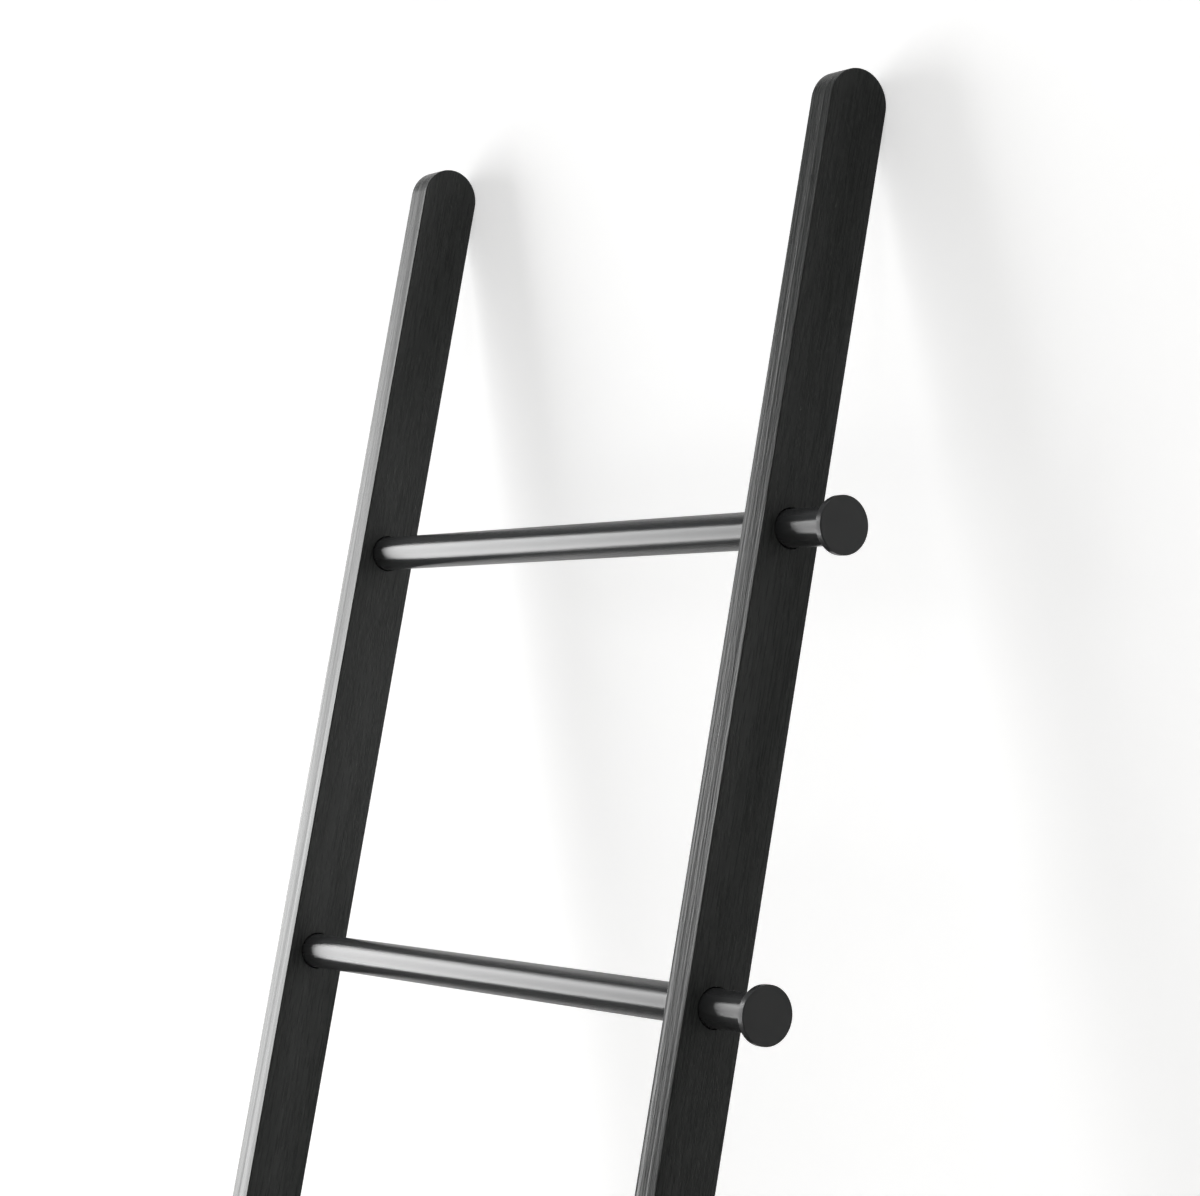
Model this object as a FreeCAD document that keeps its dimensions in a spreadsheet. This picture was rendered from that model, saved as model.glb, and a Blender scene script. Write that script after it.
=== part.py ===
import FreeCAD, Part
import math
import os
import Sketcher

# Leaning towel ladder, in millimetres, standing on the floor and tipped back towards +Y.
# Two flat wooden rails with round tops carry four round metal rungs along X. Each rung is a tube that
# stands in a blind seat in the left rail and passes through the right rail, which slides along the rungs
# on rubber bushes. The rung ends stand out past the right rail as pegs, closed by caps that stop the rail.
# A long tie bolt inside each tube runs from the left rail to the cap and clamps the tube between them.
# The origin is on the floor, at the middle of the ladder's box.

# Driving sizes: millimetres, and degrees for the angle.
DRIVING_SIZES = {
    # Rails: flat boards on edge, deep from front to back.
    "rail_depth": 46.0,
    "rail_thickness": 22.5,
    "rail_edge_break": 1.0,
    "lean_angle": 11.5,
    "clear_width": 497.0,
    # Rungs, measured up the leaning rail: floor to first axis, axis to axis, last axis to the rail's tip.
    "bottom_margin": 310.0,
    "rung_spacing": 310.0,
    "top_margin": 310.0,
    "rung_diameter": 25.4,
    "rung_wall": 1.5,
    "peg_length": 55.5,
    # Bores in the rails, with an even gap round the rung.
    "bore_clearance": 0.9,
    "seat_web": 7.0,
    # Flat-headed tie bolts with a hexagon socket.
    "bolt_diameter": 8.0,
    "bolt_head_diameter": 16.0,
    "bolt_head_height": 3.0,
    "bolt_head_recess": 0.3,
    "bolt_head_clearance": 0.3,
    "bolt_hole_clearance": 0.25,
    "bolt_end_gap": 0.5,
    "thread_clearance": 0.05,
    "socket_across": 5.0,
    "socket_depth": 2.0,
    # Rubber bushes that grip the rungs inside the right rail.
    "bush_width": 10.0,
    "bush_wall": 2.4,
    "bush_running_clearance": 0.06,
    "bush_seat_clearance": 0.05,
    # Caps, each with a spigot in the tube.
    "cap_diameter": 38.5,
    "cap_thickness": 5.0,
    "cap_edge_break": 0.7,
    "cap_floor": 2.4,
    "spigot_length": 8.0,
    "spigot_clearance": 0.1,
    # Rubber feet with push-in stems.
    "foot_thickness": 3.0,
    "foot_inset": 1.0,
    "foot_corner_radius": 2.5,
    "stem_diameter": 8.0,
    "stem_length": 18.0,
    "stem_clearance": 0.05,
    "stem_end_gap": 1.0,
}

# Rungs from the floor up: the name leads the names of all pieces on that rung.
RUNG_NAMES = ["bottom", "lower", "upper", "top"]

# Places along a rung, from the left rail's outer face.
HEAD_SEAT = "(sheet.bolt_head_recess + sheet.bolt_head_height)"
RUNG_START = f"({HEAD_SEAT} + sheet.seat_web)"
RIGHT_RAIL_START = "(sheet.rail_thickness + sheet.clear_width)"
CAP_FACE = f"({RIGHT_RAIL_START} + sheet.rail_thickness + sheet.peg_length)"
RUNG_END = f"({CAP_FACE} - sheet.cap_thickness)"
SPIGOT_END = f"({RUNG_END} - sheet.spigot_length)"
CAP_HOLE_END = f"({CAP_FACE} - sheet.cap_floor)"

# Radii about a rung's axis.
RUNG_RADIUS = "(sheet.rung_diameter / 2)"
TUBE_RADIUS = f"({RUNG_RADIUS} - sheet.rung_wall)"
BORE_RADIUS = f"({RUNG_RADIUS} + sheet.bore_clearance)"
BOLT_RADIUS = "(sheet.bolt_diameter / 2)"
THREAD_RADIUS = f"({BOLT_RADIUS} + sheet.thread_clearance)"
BUSH_INNER_RADIUS = f"({RUNG_RADIUS} + sheet.bush_running_clearance)"
BUSH_OUTER_RADIUS = f"({BUSH_INNER_RADIUS} + sheet.bush_wall)"
AXIS = "0"

# Places in the ladder's own frame.
LEFT_FACE = f"(-{CAP_FACE} / 2)"
RIGHT_RAIL_FACE = f"({LEFT_FACE} + {RIGHT_RAIL_START})"
HALF_DEPTH = "(sheet.rail_depth / 2)"
RUNG_ROW_LENGTH = f"({len(RUNG_NAMES) - 1} * sheet.rung_spacing)"
RAIL_LENGTH = f"(sheet.bottom_margin + {RUNG_ROW_LENGTH} + sheet.top_margin)"
CROWN_HEIGHT = f"({RAIL_LENGTH} - {HALF_DEPTH})"
FOOT_SHIFT = "(sheet.foot_thickness * tan(sheet.lean_angle))"
FOOT_HEIGHT = "(sheet.foot_thickness / cos(sheet.lean_angle))"
TOE_HEIGHT = f"({FOOT_HEIGHT} - {HALF_DEPTH} * tan(sheet.lean_angle))"
HEEL_HEIGHT = f"({FOOT_HEIGHT} + {HALF_DEPTH} * tan(sheet.lean_angle))"
FRONT_REACH = f"({HALF_DEPTH} / cos(sheet.lean_angle) - {FOOT_SHIFT})"
BACK_REACH = f"({CROWN_HEIGHT} * sin(sheet.lean_angle) + {HALF_DEPTH})"
MIDDLE_SHIFT = f"(({FRONT_REACH} - {BACK_REACH}) / 2)"

# A bore's profile runs on past both faces of the rail by this much.
OVERRUN = "1"
FULL_TURN = 360
HEXAGON_SIDES = 6

doc = FreeCAD.newDocument("towel_ladder")
sheet = doc.addObject("Spreadsheet::Sheet", "sheet")
pieces = []


def fill_sheet():
    """Write each driving size to a row of the sheet, under its own name."""
    for row, (name, size) in enumerate(DRIVING_SIZES.items(), start=1):
        sheet.set(f"A{row}", name)
        sheet.set(f"B{row}", str(size))
        sheet.setAlias(f"B{row}", name)
    doc.recompute()


def size_of(expression):
    """The present value of an expression in the sheet's sizes."""
    return float(sheet.evalExpression(expression))


def leaning_place(along, up):
    """Placement, as an expression, of a leaning piece: its place along X and its height up the rail."""
    back = f"({up}) * sin(sheet.lean_angle) + {MIDDLE_SHIFT}"
    height = f"({up}) * cos(sheet.lean_angle)"
    return f"placement(vector({along}; {back}; {height}); rotation(vector(1; 0; 0); -sheet.lean_angle))"


def new_body(label, place):
    """An empty body for one piece."""
    body = doc.addObject("PartDesign::Body", label)
    body.Label = label
    body.setExpression("Placement", place)
    pieces.append(body)
    return body


def origin_part(body, role):
    """One of the body's own planes or axes."""
    return next(part for part in body.Origin.OriginFeatures if part.Role == role)


def raised(height):
    """Offset, as an expression, of a sketch that lies parallel to its plane."""
    return f"placement(vector(0; 0; {height}); rotation(0; 0; 0))"


def new_sketch(body, name, plane, offset=None):
    """A sketch on one of the body's planes, with an offset given as an expression."""
    sketch = body.newObject("Sketcher::SketchObject", f"{body.Name}_{name}")
    sketch.AttachmentSupport = [(origin_part(body, plane), "")]
    sketch.MapMode = "FlatFace"
    if offset:
        sketch.setExpression("AttachmentOffset", offset)
    return sketch


def drive(sketch, kind, references, expression, name):
    """Add a dimension to a sketch and bind it to an expression."""
    sketch.addConstraint(Sketcher.Constraint(kind, *references, size_of(expression)))
    index = sketch.ConstraintCount - 1
    sketch.renameConstraint(index, name)
    sketch.setExpression(f"Constraints.{name}", expression)


def draw_outline(sketch, corners):
    """Draw a closed outline whose corners are pairs of expressions."""
    points = [FreeCAD.Vector(size_of(x), size_of(y), 0) for x, y in corners]
    count = len(points)
    for index in range(count):
        sketch.addGeometry(Part.LineSegment(points[index], points[(index + 1) % count]))
    for index in range(count):
        sketch.addConstraint(Sketcher.Constraint("Coincident", index, 2, (index + 1) % count, 1))
    for index, (x, y) in enumerate(corners):
        drive(sketch, "DistanceX", (-1, 1, index, 1), x, f"corner_{index}_x")
        drive(sketch, "DistanceY", (-1, 1, index, 1), y, f"corner_{index}_y")


def draw_circle(sketch, radius):
    """Draw a circle about the sketch's origin."""
    circle = Part.Circle(FreeCAD.Vector(), FreeCAD.Vector(0, 0, 1), size_of(radius))
    sketch.addGeometry(circle)
    sketch.addConstraint(Sketcher.Constraint("Coincident", 0, 3, -1, 1))
    drive(sketch, "Radius", (0,), radius, "radius")


def turn(body, kind, corners, name, height=AXIS):
    """Revolve an outline of pairs (along X, radius) about a line along X, to add or to cut."""
    sketch = new_sketch(body, f"{name}_outline", "XY_Plane", raised(height))
    draw_outline(sketch, corners)
    feature = body.newObject(f"PartDesign::{kind}", f"{body.Name}_{name}")
    feature.Profile = sketch
    feature.ReferenceAxis = (sketch, ["H_Axis"])
    feature.Angle = FULL_TURN
    doc.recompute()
    return feature


def turned_piece(label, place, corners):
    """A piece that is one turned solid."""
    body = new_body(label, place)
    turn(body, "Revolution", corners, "turning")
    return body


def pad(body, sketch, length, name):
    """Raise a sketch by a length along its normal."""
    feature = body.newObject("PartDesign::Pad", f"{body.Name}_{name}")
    feature.Profile = sketch
    feature.setExpression("Length", length)
    doc.recompute()
    return feature


def pocket(body, sketch, length, name):
    """Cut a sketch by a length along its normal."""
    before = body.Shape.Volume
    feature = body.newObject("PartDesign::Pocket", f"{body.Name}_{name}")
    feature.Profile = sketch
    feature.Reversed = True
    feature.setExpression("Length", length)
    doc.recompute()
    require_cut(body, before, name)
    return feature


def require_cut(body, before, name):
    """Stop if a cut took nothing away."""
    if not body.Shape.Volume < before:
        raise RuntimeError(f"{body.Label}: {name} cuts nothing")


def dress(body, kind, size_name, expression, pick, name):
    """Round or break the edges of the body's last feature that a function picks."""
    base = body.Tip
    picked = pick(base.Shape)
    names = [f"Edge{i}" for i, edge in enumerate(base.Shape.Edges, start=1) if is_in(edge, picked)]
    feature = body.newObject(f"PartDesign::{kind}", f"{body.Name}_{name}")
    feature.Base = (base, names)
    feature.setExpression(size_name, expression)
    doc.recompute()
    return feature


def is_in(edge, edges):
    """True if an edge is one of these edges."""
    return any(edge.isSame(other) for other in edges)


def lowest_face(shape):
    """The face whose middle is lowest."""
    return min(shape.Faces, key=lambda face: face.CenterOfMass.z)


def repeat_up_the_rail(body, feature):
    """Repeat a bore at the height of each rung."""
    before = body.Shape.Volume
    pattern = body.newObject("PartDesign::LinearPattern", f"{body.Name}_rung_row")
    pattern.Originals = [feature]
    pattern.Direction = (origin_part(body, "Z_Axis"), [""])
    pattern.Mode = "Spacing"
    pattern.setExpression("Offset", "sheet.rung_spacing")
    pattern.Occurrences = len(RUNG_NAMES)
    body.Tip = pattern
    doc.recompute()
    require_cut(body, before, "rung_row")


def draw_rail_side(sketch):
    """Draw a rail's side: a foot cut along the floor, two long edges and a half-round top."""
    half_depth = size_of(HALF_DEPTH)
    crown = FreeCAD.Vector(0, size_of(CROWN_HEIGHT), 0)
    front_foot = FreeCAD.Vector(-half_depth, size_of(TOE_HEIGHT), 0)
    back_foot = FreeCAD.Vector(half_depth, size_of(HEEL_HEIGHT), 0)
    back_top = FreeCAD.Vector(half_depth, crown.y, 0)
    front_top = FreeCAD.Vector(-half_depth, crown.y, 0)
    foot = sketch.addGeometry(Part.LineSegment(front_foot, back_foot))
    back = sketch.addGeometry(Part.LineSegment(back_foot, back_top))
    round_top = Part.Circle(crown, FreeCAD.Vector(0, 0, 1), half_depth)
    top = sketch.addGeometry(Part.ArcOfCircle(round_top, 0, math.pi))
    front = sketch.addGeometry(Part.LineSegment(front_top, front_foot))
    for references in (
        ("Coincident", foot, 2, back, 1),
        ("Coincident", front, 2, foot, 1),
        ("Tangent", back, 2, top, 1),
        ("Tangent", top, 2, front, 1),
        ("Vertical", back),
        ("Vertical", front),
        ("PointOnObject", top, 3, -2),
    ):
        sketch.addConstraint(Sketcher.Constraint(*references))
    drive(sketch, "DistanceX", (front, 1, back, 2), "sheet.rail_depth", "depth")
    drive(sketch, "DistanceY", (-1, 1, top, 3), CROWN_HEIGHT, "crown_height")
    drive(sketch, "DistanceY", (-1, 1, foot, 1), TOE_HEIGHT, "toe_height")
    drive(sketch, "DistanceY", (-1, 1, foot, 2), HEEL_HEIGHT, "heel_height")


def edges_round_the_sides(board):
    """The long edges and the round tops of a board's two broad sides, without the foot cut."""
    broad_sides = sorted(board.Faces, key=lambda face: face.Area)[-2:]
    foot_cut = lowest_face(board).Edges
    return [edge for side in broad_sides for edge in side.Edges if not is_in(edge, foot_cut)]


def make_rail(label, along, bore_corners):
    """A flat rail with a half-round top, eased edges, a row of bores and a hole for the foot's stem."""
    body = new_body(label, leaning_place(along, AXIS))
    side = new_sketch(body, "side", "YZ_Plane")
    draw_rail_side(side)
    pad(body, side, "sheet.rail_thickness", "board")
    dress(body, "Chamfer", "Size", "sheet.rail_edge_break", edges_round_the_sides, "eased_edges")
    foot_middle = f"vector(sheet.rail_thickness / 2; 0; {FOOT_HEIGHT})"
    foot_plane = f"placement({foot_middle}; rotation(vector(1; 0; 0); sheet.lean_angle))"
    stem_hole = new_sketch(body, "stem_hole_circle", "XY_Plane", foot_plane)
    draw_circle(stem_hole, "sheet.stem_diameter / 2 + sheet.stem_clearance")
    pocket(body, stem_hole, "sheet.stem_length + sheet.stem_end_gap", "stem_hole")
    before = body.Shape.Volume
    bore = turn(body, "Groove", bore_corners, "bore", "sheet.bottom_margin")
    require_cut(body, before, "bore")
    repeat_up_the_rail(body, bore)


def make_left_rail():
    """The fixed rail: a counterbore for the bolt head, a bolt hole and a blind seat for the rung."""
    head_radius = "sheet.bolt_head_diameter / 2 + sheet.bolt_head_clearance"
    hole_radius = f"{BOLT_RADIUS} + sheet.bolt_hole_clearance"
    outside = f"-{OVERRUN}"
    inside = f"sheet.rail_thickness + {OVERRUN}"
    corners = [
        (outside, AXIS),
        (outside, head_radius),
        (HEAD_SEAT, head_radius),
        (HEAD_SEAT, hole_radius),
        (RUNG_START, hole_radius),
        (RUNG_START, BORE_RADIUS),
        (inside, BORE_RADIUS),
        (inside, AXIS),
    ]
    make_rail("left_rail", LEFT_FACE, corners)


def make_right_rail():
    """The sliding rail: through bores, each with a groove at mid-thickness that holds a bush."""
    groove_radius = f"{BUSH_OUTER_RADIUS} + sheet.bush_seat_clearance"
    inside = f"-{OVERRUN}"
    outside = f"sheet.rail_thickness + {OVERRUN}"
    groove_start = "(sheet.rail_thickness - sheet.bush_width) / 2 - sheet.bush_seat_clearance"
    groove_end = "(sheet.rail_thickness + sheet.bush_width) / 2 + sheet.bush_seat_clearance"
    corners = [
        (inside, AXIS),
        (inside, BORE_RADIUS),
        (groove_start, BORE_RADIUS),
        (groove_start, groove_radius),
        (groove_end, groove_radius),
        (groove_end, BORE_RADIUS),
        (outside, BORE_RADIUS),
        (outside, AXIS),
    ]
    make_rail("right_rail", RIGHT_RAIL_FACE, corners)


def sleeve(start, end, inner, outer):
    """Outline of a plain sleeve."""
    return [(start, inner), (end, inner), (end, outer), (start, outer)]


def make_rung(name, place):
    """A round tube from its seat in the left rail to its cap."""
    turned_piece(f"{name}_rung", place, sleeve(RUNG_START, RUNG_END, TUBE_RADIUS, RUNG_RADIUS))


def make_tie_bolt(name, place):
    """A long bolt from the left rail to the cap, its flat head just below the rail's face."""
    head_radius = "sheet.bolt_head_diameter / 2"
    face = "sheet.bolt_head_recess"
    tip = f"{CAP_HOLE_END} - sheet.bolt_end_gap"
    corners = [
        (face, AXIS),
        (face, head_radius),
        (HEAD_SEAT, head_radius),
        (HEAD_SEAT, BOLT_RADIUS),
        (tip, BOLT_RADIUS),
        (tip, AXIS),
    ]
    body = turned_piece(f"{name}_tie_bolt", place, corners)
    socket = new_sketch(body, "socket_hexagon", "YZ_Plane", raised(face))
    corner_radius = "sheet.socket_across / sqrt(3)"
    turns = [FULL_TURN * side / HEXAGON_SIDES for side in range(HEXAGON_SIDES)]
    draw_outline(socket, [(f"{corner_radius} * cos({a})", f"{corner_radius} * sin({a})") for a in turns])
    pocket(body, socket, "sheet.socket_depth", "socket")


def make_grip_bush(name, place):
    """A rubber bush in the right rail's groove that grips the rung."""
    start = "(sheet.rail_thickness - sheet.bush_width) / 2"
    end = "(sheet.rail_thickness + sheet.bush_width) / 2"
    turned_piece(f"{name}_grip_bush", place, sleeve(start, end, BUSH_INNER_RADIUS, BUSH_OUTER_RADIUS))


def make_peg_cap(name, place):
    """A flat disc on the end of the rung, with a spigot in the tube and a blind hole for the tie bolt."""
    radius = "sheet.cap_diameter / 2"
    spigot_radius = f"{TUBE_RADIUS} - sheet.spigot_clearance"
    corners = [
        (SPIGOT_END, THREAD_RADIUS),
        (CAP_HOLE_END, THREAD_RADIUS),
        (CAP_HOLE_END, AXIS),
        (CAP_FACE, AXIS),
        (CAP_FACE, f"{radius} - sheet.cap_edge_break"),
        (f"{CAP_FACE} - sheet.cap_edge_break", radius),
        (RUNG_END, radius),
        (RUNG_END, spigot_radius),
        (SPIGOT_END, spigot_radius),
    ]
    turned_piece(f"{name}_peg_cap", place, corners)


def make_foot(label, rail_face):
    """A rubber pad under a rail's foot cut, with a stem that pushes into the rail."""
    along = f"{rail_face} + sheet.rail_thickness / 2"
    middle = f"vector({along}; {MIDDLE_SHIFT} + {FOOT_SHIFT}; 0)"
    body = new_body(label, f"placement({middle}; rotation(0; 0; 0))")
    half_x = "(sheet.rail_thickness / 2 - sheet.foot_inset)"
    half_y = f"({HALF_DEPTH} / cos(sheet.lean_angle) - sheet.foot_inset)"
    pad_outline = new_sketch(body, "pad_outline", "XY_Plane")
    draw_outline(pad_outline, [(f"{sx}{half_x}", f"{sy}{half_y}") for sx, sy in ("--", "+-", "++", "-+")])
    pad(body, pad_outline, "sheet.foot_thickness", "pad")
    dress(body, "Fillet", "Radius", "sheet.foot_corner_radius", upright_edges, "round_corners")
    stem_circle = new_sketch(body, "stem_circle", "XY_Plane", raised("sheet.foot_thickness"))
    draw_circle(stem_circle, "sheet.stem_diameter / 2")
    pad(body, stem_circle, "sheet.stem_length", "stem")


def upright_edges(block):
    """The edges between a block's sole and its top."""
    top = max(block.Faces, key=lambda face: face.CenterOfMass.z)
    level = lowest_face(block).Edges + top.Edges
    return [edge for edge in block.Edges if not is_in(edge, level)]


def make_rung_pieces(index, name):
    """All pieces that sit on one rung."""
    up = f"sheet.bottom_margin + {index} * sheet.rung_spacing"
    fixed_place = leaning_place(LEFT_FACE, up)
    sliding_place = leaning_place(RIGHT_RAIL_FACE, up)
    make_rung(name, fixed_place)
    make_tie_bolt(name, fixed_place)
    make_grip_bush(name, sliding_place)
    make_peg_cap(name, fixed_place)


def require_sound():
    """Stop if any object failed or any piece is not one valid solid."""
    for item in doc.Objects:
        if "Invalid" in item.State or "Error" in item.State:
            raise RuntimeError(f"{item.Label}: {item.State}")
    for piece in pieces:
        shape = piece.Shape
        if shape.isNull() or not shape.isValid() or len(shape.Solids) != 1:
            raise RuntimeError(f"{piece.Label} is not one valid solid")


def write_pieces():
    """Write each piece to its own file."""
    os.makedirs("parts", exist_ok=True)
    for piece in pieces:
        piece.Shape.exportStep(f"parts/{piece.Label}.step")
        print(f"{piece.Label}: {piece.Shape.Volume / 1000:.2f} cm3")


fill_sheet()
make_left_rail()
make_right_rail()
for rung_index, rung_name in enumerate(RUNG_NAMES):
    make_rung_pieces(rung_index, rung_name)
make_foot("left_foot", LEFT_FACE)
make_foot("right_foot", RIGHT_RAIL_FACE)
doc.recompute()
require_sound()
write_pieces()
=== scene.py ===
"""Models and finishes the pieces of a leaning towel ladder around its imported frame."""

import math

import bmesh
import bpy
from bpy.props import FloatProperty, FloatVectorProperty, PointerProperty
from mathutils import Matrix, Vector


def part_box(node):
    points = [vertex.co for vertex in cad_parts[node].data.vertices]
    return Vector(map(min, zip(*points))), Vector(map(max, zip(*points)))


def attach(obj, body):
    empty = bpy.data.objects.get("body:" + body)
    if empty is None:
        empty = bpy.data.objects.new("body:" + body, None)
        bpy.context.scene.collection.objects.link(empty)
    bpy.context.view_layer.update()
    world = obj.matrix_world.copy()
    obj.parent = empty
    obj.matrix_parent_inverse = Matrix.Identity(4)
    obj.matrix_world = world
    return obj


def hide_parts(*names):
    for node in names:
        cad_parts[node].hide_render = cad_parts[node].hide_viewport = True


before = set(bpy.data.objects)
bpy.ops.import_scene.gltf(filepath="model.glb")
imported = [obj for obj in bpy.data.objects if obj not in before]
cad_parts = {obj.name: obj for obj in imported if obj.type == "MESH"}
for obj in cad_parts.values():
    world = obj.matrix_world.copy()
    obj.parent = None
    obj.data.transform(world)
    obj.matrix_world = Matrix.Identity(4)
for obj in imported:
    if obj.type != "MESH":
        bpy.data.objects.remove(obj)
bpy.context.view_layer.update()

bl_info = {
    "name": "Towel Ladder",
    "version": (1, 0, 0),
    "blender": (4, 5, 0),
    "location": "View3D > Sidebar > Towel Ladder",
    "description": "Models and finishes the pieces of a leaning towel ladder",
    "category": "Object",
}

MM = 0.001

# Pieces on a rung carry its name, from the floor up.
RUNG_NAMES = ("bottom", "lower", "upper", "top")
FIXED_BODY = "frame"
SLIDING_BODY = "sliding_rail"

# Sides of a round form that shows, and of a hidden hole or stem.
ROUND_SIDES = 128
HOLE_SIDES = 64
HEXAGON_SIDES = 6
# Steps across a rounded edge.
EDGE_STEPS = 4
# Edges that turn by more than this stay sharp in shading.
SMOOTH_ANGLE = math.radians(30)
# A cutter runs on past the face that it cuts.
OVERRUN = 2 * MM
# A face looks along an axis when its normal has more than this share along it.
FACING = 0.5

# Inputs of a colour Mix node, and its result.
MIX_SHARE, MIX_FIRST, MIX_SECOND = 0, 6, 7
MIX_RESULT = 2
# A noise lies mostly within this range.
NOISE_SPREAD = {"From Min": 0.3, "From Max": 0.7}

# The floor and the wall run on far out of the picture.
BACKDROP_REACH = 12
# Width of the camera's sensor in millimetres.
SENSOR_WIDTH = 36


def middle(node):
    """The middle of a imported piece's box."""
    low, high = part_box(node)
    return (low + high) / 2


def linear(code):
    """Linear colour of an sRGB hex code, by the sRGB curve."""
    parts = [int(code[i : i + 2], 16) / 255 for i in (1, 3, 5)]
    return [p / 12.92 if p <= 0.04045 else ((p + 0.055) / 1.055) ** 2.4 for p in parts]


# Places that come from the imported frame.
RUNG_AXES = [middle(f"{name}_rung") for name in RUNG_NAMES]
RUNG_RISE = RUNG_AXES[-1] - RUNG_AXES[0]
LEAN = math.atan2(RUNG_RISE.y, RUNG_RISE.z)
RAIL_FOOT_Y = RUNG_AXES[0].y - RUNG_AXES[0].z * math.tan(LEAN)
RUNG_HEIGHTS = [axis.z / math.cos(LEAN) for axis in RUNG_AXES]
RAIL_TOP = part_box("left_rail")[1].z
WALL_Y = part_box("left_rail")[1].y
FOOT_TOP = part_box("left_rail")[0].z


def length(name, description, millimetres):
    """A length property, given in millimetres and kept in metres."""
    return FloatProperty(
        name=name, description=description, default=millimetres * MM, unit="LENGTH", precision=5
    )


def colour(name, description, code):
    """A colour property, given as an sRGB hex code."""
    return FloatVectorProperty(
        name=name, description=description, default=linear(code), subtype="COLOR", min=0, max=1
    )


class LadderSizes(bpy.types.PropertyGroup):
    """Sizes of the ladder's pieces."""

    rail_depth: length("Rail depth", "Rail from front to back", 46)
    rail_edge: length("Rail edge", "Radius of the rails' eased edges", 0.8)
    bore_radius: length("Bore radius", "Hole round a rung in either rail", 13.6)
    groove_radius: length("Groove radius", "Groove for a bush in the right rail", 15.21)
    groove_width: length("Groove width", "Groove for a bush along the rung", 10.1)
    head_bore_radius: length("Head bore radius", "Counterbore for a bolt head", 8.3)
    head_bore_depth: length("Head bore depth", "Depth of the counterbore", 3.3)
    bolt_hole_radius: length("Bolt hole radius", "Hole for a tie bolt in the left rail", 4.25)
    stem_hole_depth: length("Stem hole depth", "Hole for a foot's stem", 19)
    stem_hole_radius: length("Stem hole radius", "Hole for a foot's stem", 4.05)
    rung_radius: length("Rung radius", "Outside of the rung's tube", 12.7)
    rung_wall: length("Rung wall", "Wall of the rung's tube", 1.5)
    rung_edge: length("Rung edge", "Broken edge at a tube's end", 0.3)
    cap_radius: length("Cap radius", "Outside of a peg cap", 19.25)
    cap_thickness: length("Cap thickness", "Disc of a peg cap", 5)
    cap_floor: length("Cap floor", "Cap in front of the bolt's blind hole", 2.4)
    cap_face_edge: length("Cap face edge", "Rounded edge of a cap's face", 0.7)
    cap_back_edge: length("Cap back edge", "Rounded edge of a cap's back", 0.15)
    spigot_radius: length("Spigot radius", "Part of a cap inside the tube", 11.1)
    thread_radius: length("Thread radius", "Blind hole in a cap for the tie bolt", 4.05)
    bolt_radius: length("Bolt radius", "Shank of a tie bolt", 4)
    bolt_head_radius: length("Bolt head radius", "Flat head of a tie bolt", 8)
    bolt_head_height: length("Bolt head height", "Flat head of a tie bolt", 3)
    bolt_edge: length("Bolt edge", "Rounded edge of a bolt head", 0.5)
    socket_across: length("Socket across flats", "Hexagon socket in a bolt head", 5)
    socket_depth: length("Socket depth", "Hexagon socket in a bolt head", 2)
    foot_corner: length("Foot corner", "Rounded corners of a foot pad", 2.5)
    foot_edge: length("Foot edge", "Rounded edge of a foot's sole", 0.6)
    stem_radius: length("Stem radius", "Push-in stem of a foot", 4)


class LadderFinishes(bpy.types.PropertyGroup):
    """Colours of the ladder's materials."""

    wood_dark: colour("Wood dark", "Stained wood between the grain lines", "#343635")
    wood_light: colour("Wood light", "Stained wood along the grain lines", "#424443")
    coat: colour("Coat", "Satin coating on rungs and caps", "#3d3e3f")
    oxide: colour("Oxide", "Black oxide on the bolts", "#1a1a1c")
    rubber: colour("Rubber", "Rubber of bushes and feet", "#171717")


class LadderStage(bpy.types.PropertyGroup):
    """Camera, light and backdrop."""

    camera_place: FloatVectorProperty(
        name="Camera place",
        description="Where the camera stands",
        default=(1.9192, -1.1690, 1.1237),
        subtype="TRANSLATION",
        unit="LENGTH",
        precision=4,
    )
    camera_turn: FloatVectorProperty(
        name="Camera turn",
        description="How the camera is turned",
        default=[math.radians(a) for a in (92.2319, 0.1454, 56.3512)],
        subtype="EULER",
        precision=5,
    )
    camera_lens: FloatProperty(
        name="Camera lens",
        description="Focal length in millimetres on a 36 mm sensor",
        default=97.756,
        unit="CAMERA",
    )
    camera_shift: FloatProperty(
        name="Camera shift", description="Upward shift of the lens, as a share of the width", default=-0.045
    )
    key_place: FloatVectorProperty(
        name="Key place",
        description="Where the tall soft box on the left stands",
        default=(-2.49, -0.903, 1.127),
        subtype="TRANSLATION",
        unit="LENGTH",
    )
    key_aim: FloatVectorProperty(
        name="Key aim",
        description="What the soft box faces",
        default=(0, 0, 1.1),
        subtype="TRANSLATION",
        unit="LENGTH",
    )
    key_width: length("Key width", "Soft box from side to side", 1460)
    key_height: length("Key height", "Soft box from top to bottom", 2140)
    key_power: FloatProperty(
        name="Key power", description="Tall soft box on the left", default=77, unit="POWER"
    )
    room_level: FloatProperty(
        name="Room level", description="Even light from the room", default=0.14, min=0
    )
    ceiling_level: FloatProperty(
        name="Ceiling level", description="Light from straight above", default=1, min=0
    )
    wall: colour("Wall", "White painted wall", "#f2f2f2")
    # Grey paint that only the camera sees on the lamp's side: painted shade that evens out the lamp's stronger
    # light on the wall.
    wall_shaded: colour(
        "Wall shaded", "Wall on the lamp's side, as it takes shadows in the picture", "#bfbfbf"
    )
    wall_glow: FloatProperty(
        name="Wall glow", description="White that the wall gains in the picture", default=0.58, min=0
    )
    floor: colour("Floor", "Pale floor", "#c8c6c2")


def deselect():
    """Leave nothing selected in object mode."""
    bpy.ops.object.select_all(action="DESELECT")


def work_on(piece):
    """Make one piece the only selected and active one."""
    deselect()
    piece.select_set(True)
    bpy.context.view_layer.objects.active = piece


def name_piece(name):
    """Name the object that was just added."""
    piece = bpy.context.object
    piece.name = name
    piece.data.name = name
    return piece


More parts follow.
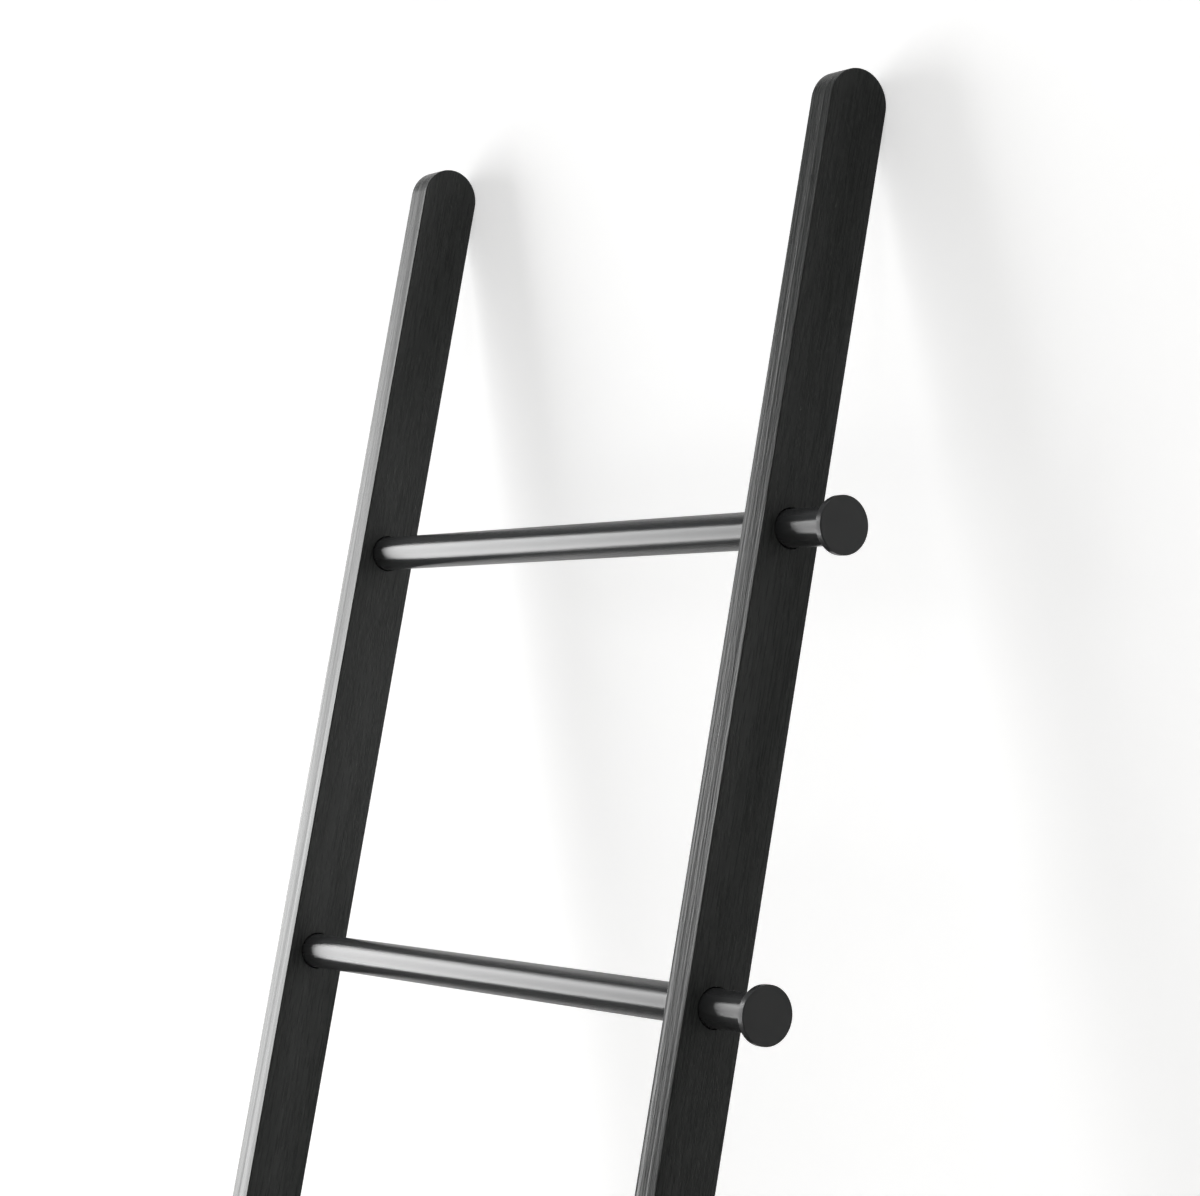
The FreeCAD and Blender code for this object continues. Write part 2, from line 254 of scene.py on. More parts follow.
def place_in_mesh():
    """Move the active object's place, turn and scale into its mesh."""
    bpy.ops.object.transform_apply(location=True, rotation=True, scale=True)


def add_bar(name, radius, start, end, axis=(0, 0), sides=ROUND_SIDES):
    """Add a solid bar along X from start to end, about an axis at (y, z)."""
    deselect()
    bpy.ops.mesh.primitive_cylinder_add(
        vertices=sides,
        radius=radius,
        depth=end - start,
        location=((start + end) / 2, *axis),
        rotation=(0, math.pi / 2, 0),
    )
    place_in_mesh()
    return name_piece(name)


def pick(piece, kind, test):
    """Select the faces or edges of the mesh in edit mode that pass a test."""
    bpy.ops.mesh.select_mode(type={"faces": "FACE", "edges": "EDGE"}[kind])
    bpy.ops.mesh.select_all(action="DESELECT")
    mesh = bmesh.from_edit_mesh(piece.data)
    for item in getattr(mesh, kind):
        if test(item):
            item.select_set(True)
    bmesh.update_edit_mesh(piece.data)


def edge_middle(edge):
    """The middle of an edge."""
    return (edge.verts[0].co + edge.verts[1].co) / 2


def is_corner(edge):
    """True for an edge between two faces that meet at a marked angle."""
    return len(edge.link_faces) == 2 and edge.calc_face_angle() > SMOOTH_ANGLE


def round_edges(piece, width, test, steps=EDGE_STEPS):
    """Round the edges in edit mode that pass a test."""
    pick(piece, "edges", test)
    bpy.ops.mesh.bevel(offset=width, segments=steps, profile=0.5, affect="EDGES")


def extrude(x=0, y=0, z=0):
    """Extrude what is selected in edit mode."""
    bpy.ops.mesh.extrude_region_move(TRANSFORM_OT_translate={"value": (x, y, z)})


def cut(piece, *cutters, operation="DIFFERENCE"):
    """Cut one piece with others, or join them to it, and remove those."""
    deselect()
    for cutter in cutters:
        cutter.select_set(True)
    bpy.context.view_layer.objects.active = cutters[0]
    if len(cutters) > 1:
        bpy.ops.object.join()
    cutter = bpy.context.object
    work_on(piece)
    change = piece.modifiers.new("cut", "BOOLEAN")
    change.operation = operation
    change.solver = "EXACT"
    change.object = cutter
    bpy.ops.object.modifier_apply(modifier=change.name)
    bpy.data.objects.remove(cutter)


def bore(board, radius, start, end, sides=ROUND_SIDES):
    """Cut the row of rung holes into part of a board's thickness."""
    cut(board, *[add_bar("drill", radius, start, end, (0, up), sides) for up in RUNG_HEIGHTS])


def shade(piece):
    """Smooth the round faces and keep the flat ones flat."""
    work_on(piece)
    bpy.ops.object.shade_smooth_by_angle(angle=SMOOTH_ANGLE)
    flats = piece.modifiers.new("flats", "WEIGHTED_NORMAL")
    flats.keep_sharp = True
    bpy.ops.object.modifier_apply(modifier=flats.name)


def dress(piece, material, body, node):
    """Finish a piece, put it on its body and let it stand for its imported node."""
    shade(piece)
    piece.data.materials.clear()
    piece.data.materials.append(material)
    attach(piece, body)
    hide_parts(node)


def copy_piece(piece, name, move):
    """Copy a piece with its own mesh and move the copy."""
    work_on(piece)
    bpy.ops.object.duplicate_move(TRANSFORM_OT_translate={"value": move})
    place_in_mesh()
    return name_piece(name)


def dress_row(piece, part, piece_part, material):
    """Copy a piece of the bottom rung to the others and finish all of them."""
    row = [piece]
    for name, axis in zip(RUNG_NAMES[1:], RUNG_AXES[1:]):
        row.append(copy_piece(piece, f"{name}_{piece_part}", axis - RUNG_AXES[0]))
    for name, item in zip(RUNG_NAMES, row):
        dress(item, material, FIXED_BODY, f"{name}_{part}")


def new_material(name):
    """An empty material and its surface shader."""
    material = bpy.data.materials.new(name)
    material.use_nodes = True
    return material, material.node_tree.nodes["Principled BSDF"]


def add_node(tree, kind, inputs, **settings):
    """Add a node with its settings, and set or link each of its inputs."""
    node = tree.nodes.new(kind)
    for name, value in settings.items():
        setattr(node, name, value)
    join(tree, node, inputs)
    return node


def join(tree, node, inputs):
    """Set or link inputs of a node."""
    for name, value in inputs.items():
        if isinstance(value, bpy.types.NodeSocket):
            tree.links.new(value, node.inputs[name])
        else:
            node.inputs[name].default_value = value


def stained_wood(finishes):
    """Planed hardwood, stained black and lacquered satin.

    The stain is near black, the open grain runs along the rail as fine lines that catch the light, and the
    lacquer gives a soft sheen that brightens at a low angle.
    """
    material, shader = new_material("black_stained_hardwood_satin_lacquer")
    tree = material.node_tree
    # Growth rings swell the surface every few millimetres, and flames lie between them. Pores are about half a
    # millimetre wide on the wood, and drawn coarser so that they show.
    swell_width = 5 * MM
    flame_width = 2.6 * MM
    pore_width = 1.4 * MM
    # Moves the swells sideways, which sets where the lighter bands lie on the rails' fronts.
    swell_shift = 20 * MM
    swell_relief = 0.18 * MM
    pore_relief = 0.045 * MM
    # The product of two noises lies mostly within this range.
    tone_spread = {"From Min": 0.13, "From Max": 0.37}
    # The lacquer's roughness varies with the pores, and how strongly it mirrors varies with the swells.
    sheen_range = {"To Min": 0.255, "To Max": 0.315}
    gloss_range = {"To Min": 0.26, "To Max": 0.68}
    place = add_node(tree, "ShaderNodeTexCoord", {}).outputs["Object"]
    grain = {}
    # The growth layers lie across the thickness, so they draw lines on the fronts and broad flames on the
    # sides. The last direction of each stretch runs up the rail.
    for part, width, stretch, detail, shift in (
        ("swell", swell_width, (1, 8, 80), 1, swell_shift),
        ("flame", flame_width, (1, 1, 9), 3, 0),
        ("pore", pore_width, (1, 1, 16), 1, 0),
    ):
        along = add_node(
            tree,
            "ShaderNodeMapping",
            {"Vector": place, "Location": (shift, 0, 0), "Rotation": (-LEAN, 0, 0), "Scale": stretch},
            vector_type="TEXTURE",
        )
        noise = add_node(
            tree,
            "ShaderNodeTexNoise",
            {
                "Vector": along.outputs[0],
                "Scale": 1 / width,
                "Detail": detail,
                "Roughness": 0.6,
                "Distortion": 0.2,
            },
        )
        grain[part] = noise.outputs["Fac"]
    tone = add_node(tree, "ShaderNodeMath", {0: grain["flame"], 1: grain["pore"]}, operation="MULTIPLY")
    share = add_node(tree, "ShaderNodeMapRange", {"Value": tone.outputs[0], **tone_spread})
    stain = add_node(
        tree,
        "ShaderNodeMix",
        {
            MIX_SHARE: share.outputs[0],
            MIX_FIRST: (*finishes.wood_dark, 1),
            MIX_SECOND: (*finishes.wood_light, 1),
        },
        data_type="RGBA",
    )
    sheen = add_node(tree, "ShaderNodeMapRange", {"Value": grain["pore"], **NOISE_SPREAD, **sheen_range})
    relief = add_node(tree, "ShaderNodeBump", {"Height": grain["swell"], "Distance": swell_relief})
    relief = add_node(
        tree,
        "ShaderNodeBump",
        {"Height": grain["pore"], "Distance": pore_relief, "Normal": relief.outputs[0]},
    )
    # Open grain takes up lacquer and shines less.
    gloss = add_node(tree, "ShaderNodeMapRange", {"Value": grain["swell"], **NOISE_SPREAD, **gloss_range})
    # Fine planing marks across the grain draw the sheen out along it.
    along = tree.nodes.new("ShaderNodeNormal").outputs["Normal"]
    along.default_value = (0, math.sin(LEAN), math.cos(LEAN))
    join(
        tree,
        shader,
        {
            "Base Color": stain.outputs[MIX_RESULT],
            "Roughness": sheen.outputs[0],
            "Anisotropic": 1.0,
            "Tangent": along,
            "Normal": relief.outputs[0],
            "IOR": 1.36,
            "Specular IOR Level": gloss.outputs[0],
        },
    )
    return material


def satin_coat(finishes, name="steel_satin_black_powder_coat"):
    """Steel with a satin black powder coat.

    The coat is a soft black, smooth enough to show long lamp reflections with soft edges, and it lies a
    little thicker in some places, so its tint changes faintly from place to place.
    """
    material, shader = new_material(name)
    tree = material.node_tree
    cloud_width = 30 * MM
    thin_share, thick_share = 0.95, 1.05
    place = add_node(tree, "ShaderNodeTexCoord", {}).outputs["Object"]
    cloud = add_node(tree, "ShaderNodeTexNoise", {"Vector": place, "Scale": 1 / cloud_width, "Detail": 3})
    tint = add_node(
        tree,
        "ShaderNodeMix",
        {
            MIX_SHARE: cloud.outputs["Fac"],
            MIX_FIRST: (*[part * thin_share for part in finishes.coat], 1),
            MIX_SECOND: (*[part * thick_share for part in finishes.coat], 1),
        },
        data_type="RGBA",
    )
    # An even roughness keeps the long reflections free of rings.
    join(tree, shader, {"Base Color": tint.outputs[MIX_RESULT], "Roughness": 0.27, "IOR": 1.55})
    return material


def coated_tube(finishes):
    """The rungs' satin black powder coat, over tube that was belt-polished round before it was coated.

    The polishing marks run round the tube under the thin coat, so the lamp's reflection is crisp across the
    rung and soft along it.
    """
    material = satin_coat(finishes, "polished_steel_tube_satin_black_powder_coat")
    tree = material.node_tree
    along = tree.nodes.new("ShaderNodeNormal").outputs["Normal"]
    along.default_value = (1, 0, 0)
    join(tree, tree.nodes["Principled BSDF"], {"Anisotropic": 0.8, "IOR": 1.68, "Tangent": along})
    return material


def black_oxide(finishes):
    """Turned steel with a black oxide finish: a dull blue-black metal with fine turning marks."""
    material, shader = new_material("steel_black_oxide")
    tree = material.node_tree
    # Turning marks are about 0.1 mm apart on the steel, and drawn coarser so that they show.
    mark_width = 0.5 * MM
    mark_relief = 0.02 * MM
    sheen_range = {"To Min": 0.32, "To Max": 0.46}
    place = add_node(tree, "ShaderNodeTexCoord", {}).outputs["Object"]
    mark = add_node(tree, "ShaderNodeTexNoise", {"Vector": place, "Scale": 1 / mark_width, "Detail": 3})
    sheen = add_node(
        tree, "ShaderNodeMapRange", {"Value": mark.outputs["Fac"], **NOISE_SPREAD, **sheen_range}
    )
    relief = add_node(
        tree, "ShaderNodeBump", {"Height": mark.outputs["Fac"], "Strength": 0.2, "Distance": mark_relief}
    )
    join(
        tree,
        shader,
        {
            "Base Color": (*finishes.oxide, 1),
            "Metallic": 0.6,
            "Roughness": sheen.outputs[0],
            "Normal": relief.outputs[0],
        },
    )
    return material


def moulded_rubber(finishes):
    """Moulded rubber: matt black with a faint bloom and a fine even texture."""
    material, shader = new_material("rubber_moulded_matt_black")
    tree = material.node_tree
    # The mould's texture is about 0.2 mm wide, and drawn coarser so that it shows.
    texture_width = 0.7 * MM
    texture_relief = 0.05 * MM
    bloom_width = 9 * MM
    clean_share, bloomed_share = 0.7, 1.5
    sheen_range = {"To Min": 0.68, "To Max": 0.85}
    place = add_node(tree, "ShaderNodeTexCoord", {}).outputs["Object"]
    texture = add_node(tree, "ShaderNodeTexNoise", {"Vector": place, "Scale": 1 / texture_width, "Detail": 2})
    bloom = add_node(tree, "ShaderNodeTexNoise", {"Vector": place, "Scale": 1 / bloom_width, "Detail": 4})
    tint = add_node(
        tree,
        "ShaderNodeMix",
        {
            MIX_SHARE: bloom.outputs["Fac"],
            MIX_FIRST: (*[part * clean_share for part in finishes.rubber], 1),
            MIX_SECOND: (*[part * bloomed_share for part in finishes.rubber], 1),
        },
        data_type="RGBA",
    )
    sheen = add_node(
        tree, "ShaderNodeMapRange", {"Value": bloom.outputs["Fac"], **NOISE_SPREAD, **sheen_range}
    )
    relief = add_node(
        tree,
        "ShaderNodeBump",
        {"Height": texture.outputs["Fac"], "Strength": 0.3, "Distance": texture_relief},
    )
    join(
        tree,
        shader,
        {
            "Base Color": tint.outputs[MIX_RESULT],
            "Roughness": sheen.outputs[0],
            "Normal": relief.outputs[0],
            "IOR": 1.52,
        },
    )
    return material


# Materials that were made, by the function that makes them.
MADE = {}


class LadderOperator:
    """What the ladder's operators share."""

    bl_options = {"REGISTER", "UNDO"}

    def sizes(self, context):
        """The ladder's sizes."""
        return context.scene.towel_ladder_sizes

    def finish(self, context, make):
        """One of the ladder's materials, made the first time that a piece asks for it."""
        if make not in MADE:
            MADE[make] = make(context.scene.towel_ladder_finishes)
        return MADE[make]


class TOWEL_LADDER_OT_rails(LadderOperator, bpy.types.Operator):
    """Model the two wooden rails with their bores"""

    bl_idname = "towel_ladder.rails"
    bl_label = "Rails"

    def execute(self, context):
        sizes = self.sizes(context)
        wood = self.finish(context, stained_wood)
        low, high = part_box("left_rail")
        half = (high.x - low.x) / 2
        board = self.model_board(sizes, half)
        other = copy_piece(board, "right_rail_board", (0, 0, 0))
        # The rung's blind seat starts behind the bolt's web.
        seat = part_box("bottom_rung")[0].x - low.x - half
        head_seat = sizes.head_bore_depth - half
        bore(board, sizes.bore_radius, seat, half + OVERRUN)
        bore(board, sizes.bolt_hole_radius, head_seat - OVERRUN, seat + OVERRUN, HOLE_SIDES)
        bore(board, sizes.head_bore_radius, -half - OVERRUN, head_seat)
        bore(other, sizes.bore_radius, -half - OVERRUN, half + OVERRUN)
        bore(other, sizes.groove_radius, -sizes.groove_width / 2, sizes.groove_width / 2)
        for rail, body, node in ((board, FIXED_BODY, "left_rail"), (other, SLIDING_BODY, "right_rail")):
            work_on(rail)
            rail.location = (middle(node).x, RAIL_FOOT_Y, 0)
            rail.rotation_euler = (-LEAN, 0, 0)
            place_in_mesh()
            dress(rail, wood, body, node)
        return {"FINISHED"}

    def model_board(self, sizes, half):
        """An upright board with a half-round top, a slanting foot and eased edges."""
        depth = sizes.rail_depth / 2
        crown = (RAIL_TOP - depth) / math.cos(LEAN)
        board = add_bar("left_rail_board", depth, -half, half, (0, crown))
        bpy.ops.object.mode_set(mode="EDIT")
        bpy.ops.mesh.select_all(action="SELECT")
        bpy.ops.mesh.bisect(
            plane_co=(0, 0, crown), plane_no=(0, 0, 1), use_fill=True, clear_inner=True, threshold=0.01 * MM
        )

        def is_cut_face(face):
            """True for the flat face under the half-round top."""
            return face.normal.z < -FACING and abs(face.calc_center_median().z - crown) < MM

        pick(board, "faces", is_cut_face)
        extrude(z=-crown - depth)
        bpy.ops.mesh.select_all(action="SELECT")
        bpy.ops.mesh.bisect(
            plane_co=(0, 0, FOOT_TOP / math.cos(LEAN)),
            plane_no=(0, -math.sin(LEAN), math.cos(LEAN)),
            use_fill=True,
            clear_inner=True,
        )

        def is_side_edge(edge):
            """True for an edge round one of the board's flat sides."""
            return is_corner(edge) and any(abs(face.normal.x) > FACING for face in edge.link_faces)

        round_edges(board, sizes.rail_edge, is_side_edge)
        bpy.ops.object.mode_set(mode="OBJECT")
        cut(board, self.stem_drill(sizes))
        return board

    def stem_drill(self, sizes):
        """A drill for the hole that takes the foot's stem, square to the floor."""
        deselect()
        bpy.ops.mesh.primitive_cylinder_add(
            vertices=HOLE_SIDES, radius=sizes.stem_hole_radius, depth=2 * sizes.stem_hole_depth
        )
        drill = name_piece("stem_drill")
        drill.location = (0, 0, FOOT_TOP / math.cos(LEAN))
        drill.rotation_euler = (LEAN, 0, 0)
        place_in_mesh()
        return drill


class TOWEL_LADDER_OT_rungs(LadderOperator, bpy.types.Operator):
    """Model the tubes of the four rungs"""

    bl_idname = "towel_ladder.rungs"
    bl_label = "Rungs"

    def execute(self, context):
        sizes = self.sizes(context)
        low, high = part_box("bottom_rung")
        axis = RUNG_AXES[0].yz
        tube = add_bar("bottom_rung_tube", sizes.rung_radius, low.x, high.x, axis)
        bpy.ops.object.mode_set(mode="EDIT")
        pick(tube, "faces", lambda face: abs(face.normal.x) > FACING)
        bpy.ops.mesh.inset(thickness=sizes.rung_wall, use_individual=True)
        bpy.ops.mesh.delete(type="FACE")
        pick(tube, "edges", lambda edge: edge.is_boundary)
        bpy.ops.mesh.bridge_edge_loops()
        round_edges(tube, sizes.rung_edge, is_corner, steps=2)
        bpy.ops.mesh.select_all(action="SELECT")
        bpy.ops.mesh.normals_make_consistent(inside=False)
        bpy.ops.object.mode_set(mode="OBJECT")
        dress_row(tube, "rung", "rung_tube", self.finish(context, coated_tube))
        return {"FINISHED"}


class TOWEL_LADDER_OT_peg_caps(LadderOperator, bpy.types.Operator):
    """Model the flat caps on the rungs' right ends"""

    bl_idname = "towel_ladder.peg_caps"
    bl_label = "Peg caps"

    def execute(self, context):
        sizes = self.sizes(context)
        low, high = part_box("bottom_peg_cap")
        back = high.x - sizes.cap_thickness
        cap = add_bar("bottom_cap_disc", sizes.cap_radius, back, high.x, RUNG_AXES[0].yz)
        bpy.ops.object.mode_set(mode="EDIT")
        pick(cap, "faces", lambda face: face.normal.x < -FACING)
        bpy.ops.mesh.inset(thickness=sizes.cap_radius - sizes.spigot_radius)
        extrude(x=low.x - back)
        bpy.ops.mesh.inset(thickness=sizes.spigot_radius - sizes.thread_radius)
        extrude(x=high.x - sizes.cap_floor - low.x)

        def is_face_rim(edge):
            """True for an edge round the cap's face."""
            return is_corner(edge) and edge_middle(edge).x > high.x - MM

        def is_back_rim(edge):
            """True for an edge round the outside of the cap's back."""
            reach = (edge_middle(edge).yz - RUNG_AXES[0].yz).length
            return is_corner(edge) and edge_middle(edge).x < back + MM and reach > sizes.cap_radius - MM

        round_edges(cap, sizes.cap_face_edge, is_face_rim)
        round_edges(cap, sizes.cap_back_edge, is_back_rim)
        bpy.ops.object.mode_set(mode="OBJECT")
        dress_row(cap, "peg_cap", "cap_disc", self.finish(context, satin_coat))
        return {"FINISHED"}


class TOWEL_LADDER_OT_tie_bolts(LadderOperator, bpy.types.Operator):
    """Model the long bolts that clamp the rungs between the left rail and the caps"""

    bl_idname = "towel_ladder.tie_bolts"
    bl_label = "Tie bolts"

    def execute(self, context):
        sizes = self.sizes(context)
        low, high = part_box("bottom_tie_bolt")
        axis = RUNG_AXES[0].yz
        seat = low.x + sizes.bolt_head_height
        bolt = add_bar("bottom_bolt", sizes.bolt_head_radius, low.x, seat, axis, HOLE_SIDES)
        bpy.ops.object.mode_set(mode="EDIT")
        pick(bolt, "faces", lambda face: face.normal.x > FACING)
        bpy.ops.mesh.inset(thickness=sizes.bolt_head_radius - sizes.bolt_radius)
        extrude(x=high.x - seat)

        def is_head_rim(edge):
            """True for an edge round the flat of the bolt's head."""
            return is_corner(edge) and edge_middle(edge).x < low.x + MM

        def is_tip_rim(edge):
            """True for an edge round the bolt's tip."""
            return is_corner(edge) and edge_middle(edge).x > high.x - MM

        round_edges(bolt, sizes.bolt_edge, is_head_rim)
        round_edges(bolt, sizes.bolt_edge, is_tip_rim, steps=1)
        bpy.ops.object.mode_set(mode="OBJECT")
        corner = sizes.socket_across / math.sqrt(3)
        socket = add_bar("key", corner, low.x - OVERRUN, low.x + sizes.socket_depth, axis, HEXAGON_SIDES)
        cut(bolt, socket)
        dress_row(bolt, "tie_bolt", "bolt", self.finish(context, black_oxide))
        return {"FINISHED"}


class TOWEL_LADDER_OT_grip_bushes(LadderOperator, bpy.types.Operator):
    """Give the rubber bushes in the right rail their finish"""

    bl_idname = "towel_ladder.grip_bushes"
    bl_label = "Grip bushes"

    def execute(self, context):
        rubber = self.finish(context, moulded_rubber)
        for name in RUNG_NAMES:
            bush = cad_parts[f"{name}_grip_bush"]
            for slot in bush.material_slots:
                slot.material = rubber
        return {"FINISHED"}


class TOWEL_LADDER_OT_feet(LadderOperator, bpy.types.Operator):
    """Model the rubber feet with their push-in stems"""

    bl_idname = "towel_ladder.feet"
    bl_label = "Feet"

    def execute(self, context):
        sizes = self.sizes(context)
        rubber = self.finish(context, moulded_rubber)
        low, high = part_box("left_foot")
        centre = (low + high) / 2
        deselect()
        bpy.ops.mesh.primitive_cube_add(
            size=1,
            location=(centre.x, centre.y, FOOT_TOP / 2),
            scale=(high.x - low.x, high.y - low.y, FOOT_TOP),
        )
        place_in_mesh()
        foot = name_piece("left_foot_pad")
        bpy.ops.object.mode_set(mode="EDIT")

        def is_upright(edge):
            """True for an edge at a corner of the pad."""
            return abs(edge.verts[0].co.z - edge.verts[1].co.z) > MM

        def is_sole_rim(edge):
            """True for an edge round the sole."""
            return is_corner(edge) and edge_middle(edge).z < FOOT_TOP / 2

        round_edges(foot, sizes.foot_corner, is_upright)
        round_edges(foot, sizes.foot_edge, is_sole_rim)
        bpy.ops.object.mode_set(mode="OBJECT")
        deselect()
        bpy.ops.mesh.primitive_cylinder_add(
            vertices=HOLE_SIDES,
            radius=sizes.stem_radius,
            depth=high.z - FOOT_TOP / 2,
            location=(centre.x, centre.y, (high.z + FOOT_TOP / 2) / 2),
        )
        place_in_mesh()
        cut(foot, name_piece("stem"), operation="UNION")
        other = copy_piece(foot, "right_foot_pad", middle("right_foot") - middle("left_foot"))
        dress(foot, rubber, FIXED_BODY, "left_foot")
        dress(other, rubber, SLIDING_BODY, "right_foot")
        return {"FINISHED"}


class TOWEL_LADDER_OT_stage(LadderOperator, bpy.types.Operator):
    """Set up the wall, the floor, the light and the camera"""

    bl_idname = "towel_ladder.stage"
    bl_label = "Stage"

    def execute(self, context):
        stage = context.scene.towel_ladder_stage
        self.add_backdrop(stage)
        self.add_light(context, stage)
        self.add_camera(context, stage)
        context.scene.view_settings.view_transform = "Standard"
        return {"FINISHED"}

    def add_backdrop(self, stage):
        """A pale floor and a white wall that shows from the front alone."""
        floor_place = (0, WALL_Y - BACKDROP_REACH / 4, 0)
        wall_place = (0, WALL_Y, BACKDROP_REACH / 2)
        for name, place, turn, paint, mirrored in (
            ("floor", floor_place, 0, self.floor_paint(stage), False),
            ("wall", wall_place, math.pi / 2, self.wall_paint(stage), True),
        ):
            deselect()
            bpy.ops.mesh.primitive_plane_add(size=BACKDROP_REACH, location=place, rotation=(turn, 0, 0))
            place_in_mesh()
            sheet = name_piece(name)
            sheet.data.materials.append(paint)
            sheet.visible_glossy = mirrored

    def floor_paint(self, stage):
        """Matt pale floor paint."""
        material, shader = new_material("floor_matt_pale_paint")
        join(material.node_tree, shader, {"Base Color": (*stage.floor, 1), "Roughness": 0.7})
        return material

    def wall_paint(self, stage):
        """Matt white wall paint, seen as white.

        It is clear from behind, so that the back of the ladder shows.
        """
        material, shader = new_material("wall_matt_white_paint")
        tree = material.node_tree
        rays = add_node(tree, "ShaderNodeLightPath", {}).outputs
        seen = rays["Is Camera Ray"]
        # The soft box lights the wall more on its own side, so the paint that the picture shows is painted
        # greyer there, a painted shade that evens out the lamp's light. It turns white between these two
        # places along X.
        grey_end, white_end = -0.4, 0.35
        place = add_node(tree, "ShaderNodeTexCoord", {}).outputs["Object"]
        right = add_node(tree, "ShaderNodeSeparateXYZ", {"Vector": place}).outputs["X"]
        near = add_node(
            tree,
            "ShaderNodeMapRange",
            {"Value": right, "From Min": grey_end, "From Max": white_end, "To Min": 1, "To Max": 0},
        )
        # Share of the grey paint, which the camera alone sees: painted shade on the lamp's side.
        painted_shade = add_node(tree, "ShaderNodeMath", {0: seen, 1: near.outputs[0]}, operation="MULTIPLY")
        paint = add_node(
            tree,
            "ShaderNodeMix",
            {
                MIX_SHARE: painted_shade.outputs[0],
                MIX_FIRST: (*stage.wall, 1),
                MIX_SECOND: (*stage.wall_shaded, 1),
            },
            data_type="RGBA",
        )
        # In reflections the wall shows a painted pool of light behind the ladder's left half, which fades out
        # between these two radii.
        pool_middle = (-0.05, WALL_Y, 1.3)
        pool_inner, pool_outer = 0.3, 0.6
        painted_pool_level = 0.28
        off = add_node(tree, "ShaderNodeVectorMath", {0: place, 1: pool_middle}, operation="DISTANCE")
        painted_pool = add_node(
            tree,
            "ShaderNodeMapRange",
            {
                "Value": off.outputs["Value"],
                "From Min": pool_inner,
                "From Max": pool_outer,
                "To Min": painted_pool_level,
                "To Max": 0,
            },
        )
        mirrored = add_node(
            tree, "ShaderNodeMath", {0: rays["Is Glossy Ray"], 1: painted_pool.outputs[0]}, operation="MULTIPLY"
        )
        # The glow is the even white that the camera sees, plus the painted pool of light that reflections
        # show.
        glow = add_node(
            tree,
            "ShaderNodeMath",
            {0: seen, 1: stage.wall_glow, 2: mirrored.outputs[0]},
            operation="MULTIPLY_ADD",
        )
        join(
            tree,
            shader,
            {
                "Base Color": paint.outputs[MIX_RESULT],
                "Roughness": 0.9,
                "Emission Color": (1, 1, 1, 1),
                "Emission Strength": glow.outputs[0],
            },
        )
        back = add_node(tree, "ShaderNodeNewGeometry", {}).outputs["Backfacing"]
        clear = add_node(tree, "ShaderNodeBsdfTransparent", {})
        sides = add_node(tree, "ShaderNodeMixShader", {0: back, 1: shader.outputs[0], 2: clear.outputs[0]})
        join(tree, tree.nodes["Material Output"], {"Surface": sides.outputs[0]})
        return material

    def add_light(self, context, stage):
        """A tall soft box at the front left, and light from the room that is brightest straight above."""
        world = bpy.data.worlds.new("room")
        world.use_nodes = True
        sky = world.node_tree
        # The room is even up to this height on a unit sphere, and grows brighter from there.
        ceiling_start = 0.6
        way = add_node(sky, "ShaderNodeTexCoord", {}).outputs["Generated"]
        height = add_node(sky, "ShaderNodeSeparateXYZ", {"Vector": way}).outputs["Z"]
        level = add_node(
            sky,
            "ShaderNodeMapRange",
            {
                "Value": height,
                "From Min": ceiling_start,
                "From Max": 1,
                "To Min": stage.room_level,
                "To Max": stage.ceiling_level,
            },
        )
        join(sky, sky.nodes["Background"], {"Color": (1, 1, 1, 1), "Strength": level.outputs[0]})
        context.scene.world = world
        deselect()
        bpy.ops.object.light_add(type="AREA", location=stage.key_place)
        lamp = name_piece("key_light")
        lamp.rotation_euler = (stage.key_aim - stage.key_place).to_track_quat("-Z", "Y").to_euler()
        lamp.data.shape = "RECTANGLE"
        lamp.data.size = stage.key_width
        lamp.data.size_y = stage.key_height
        lamp.data.energy = stage.key_power
        lamp.visible_camera = False

    def add_camera(self, context, stage):
        """The camera, from the front right and just below the top rung."""
        deselect()
        bpy.ops.object.camera_add(location=stage.camera_place, rotation=stage.camera_turn)
        camera = name_piece("camera")
        camera.data.sensor_width = SENSOR_WIDTH
        camera.data.lens = stage.camera_lens
        camera.data.shift_y = stage.camera_shift
        context.scene.camera = camera


OPERATORS = (
    TOWEL_LADDER_OT_rails,
    TOWEL_LADDER_OT_rungs,
    TOWEL_LADDER_OT_peg_caps,
    TOWEL_LADDER_OT_tie_bolts,
    TOWEL_LADDER_OT_grip_bushes,
    TOWEL_LADDER_OT_feet,
    TOWEL_LADDER_OT_stage,
)
GROUPS = {"sizes": LadderSizes, "finishes": LadderFinishes, "stage": LadderStage}


class TOWEL_LADDER_PT_panel(bpy.types.Panel):
    """The ladder's pieces, sizes and finishes"""

    bl_idname = "TOWEL_LADDER_PT_panel"
    bl_label = "Towel Ladder"
    bl_space_type = "VIEW_3D"
    bl_region_type = "UI"
    bl_category = "Towel Ladder"

    def draw(self, context):
        for operator in OPERATORS:
            self.layout.operator(operator.bl_idname)
        for group in GROUPS:
            values = getattr(context.scene, f"towel_ladder_{group}")
            box = self.layout.box()
            for name in values.__annotations__:
                box.prop(values, name)


def register():
    """Register the property groups, operators and panel."""
    for name, group in GROUPS.items():
        bpy.utils.register_class(group)
        setattr(bpy.types.Scene, f"towel_ladder_{name}", PointerProperty(type=group))
    for item in (*OPERATORS, TOWEL_LADDER_PT_panel):
        bpy.utils.register_class(item)


def unregister():
    """Remove what register added."""
    for item in reversed((*OPERATORS, TOWEL_LADDER_PT_panel)):
        bpy.utils.unregister_class(item)
    for name, group in GROUPS.items():
        delattr(bpy.types.Scene, f"towel_ladder_{name}")
        bpy.utils.unregister_class(group)


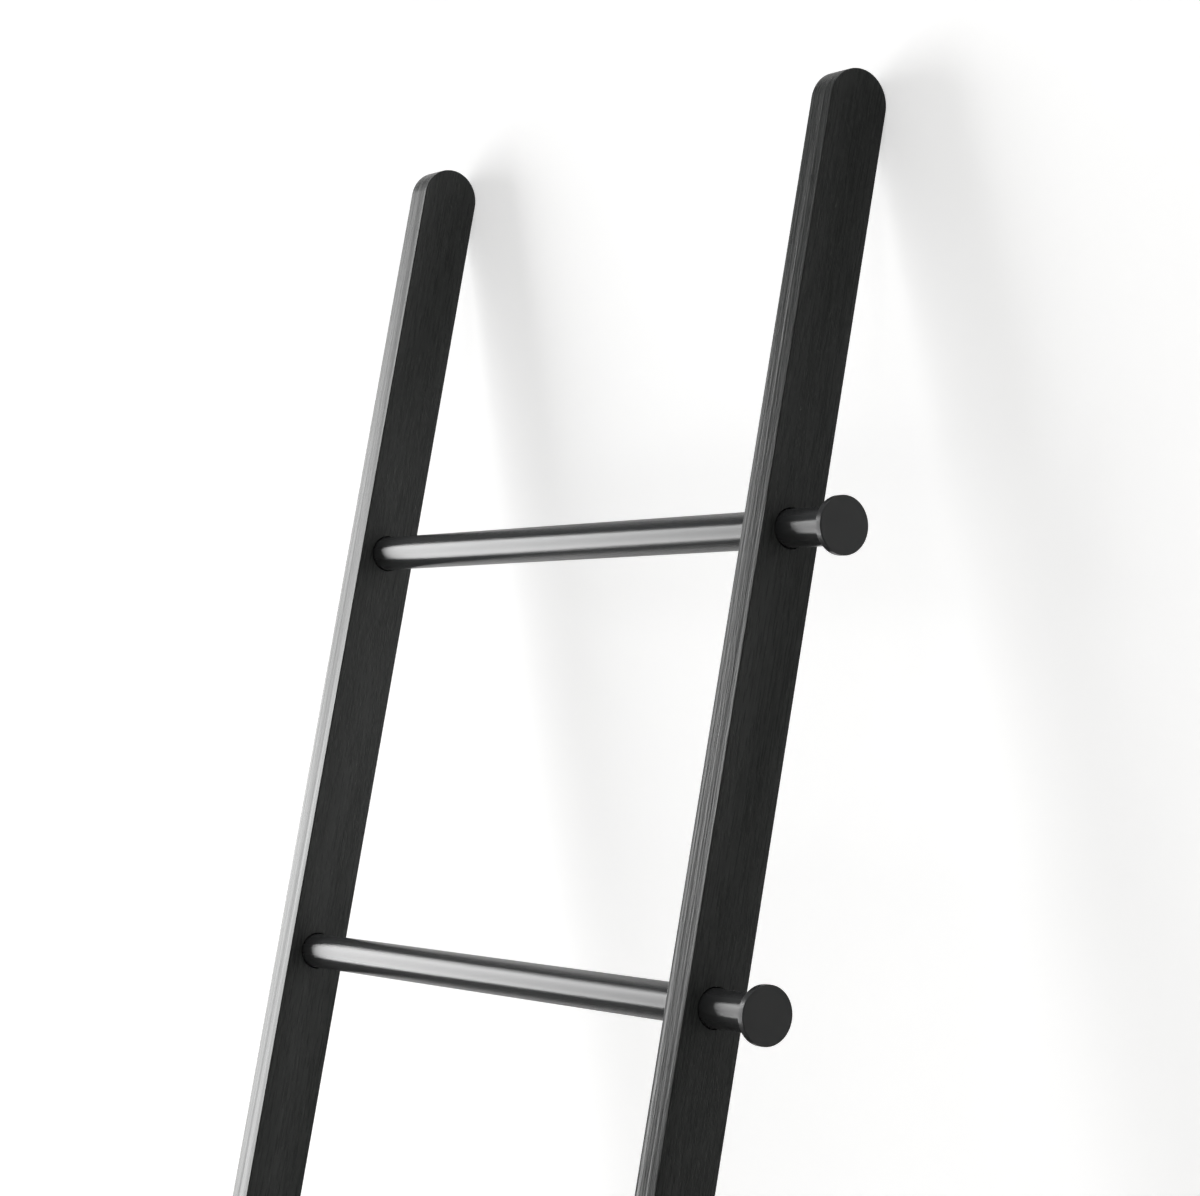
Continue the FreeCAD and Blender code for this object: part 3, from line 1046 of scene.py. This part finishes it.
def main():
    """Make all pieces and the stage."""
    register()
    bpy.ops.towel_ladder.rails()
    bpy.ops.towel_ladder.rungs()
    bpy.ops.towel_ladder.peg_caps()
    bpy.ops.towel_ladder.tie_bolts()
    bpy.ops.towel_ladder.grip_bushes()
    bpy.ops.towel_ladder.feet()
    bpy.ops.towel_ladder.stage()


if __name__ == "__main__":
    main()
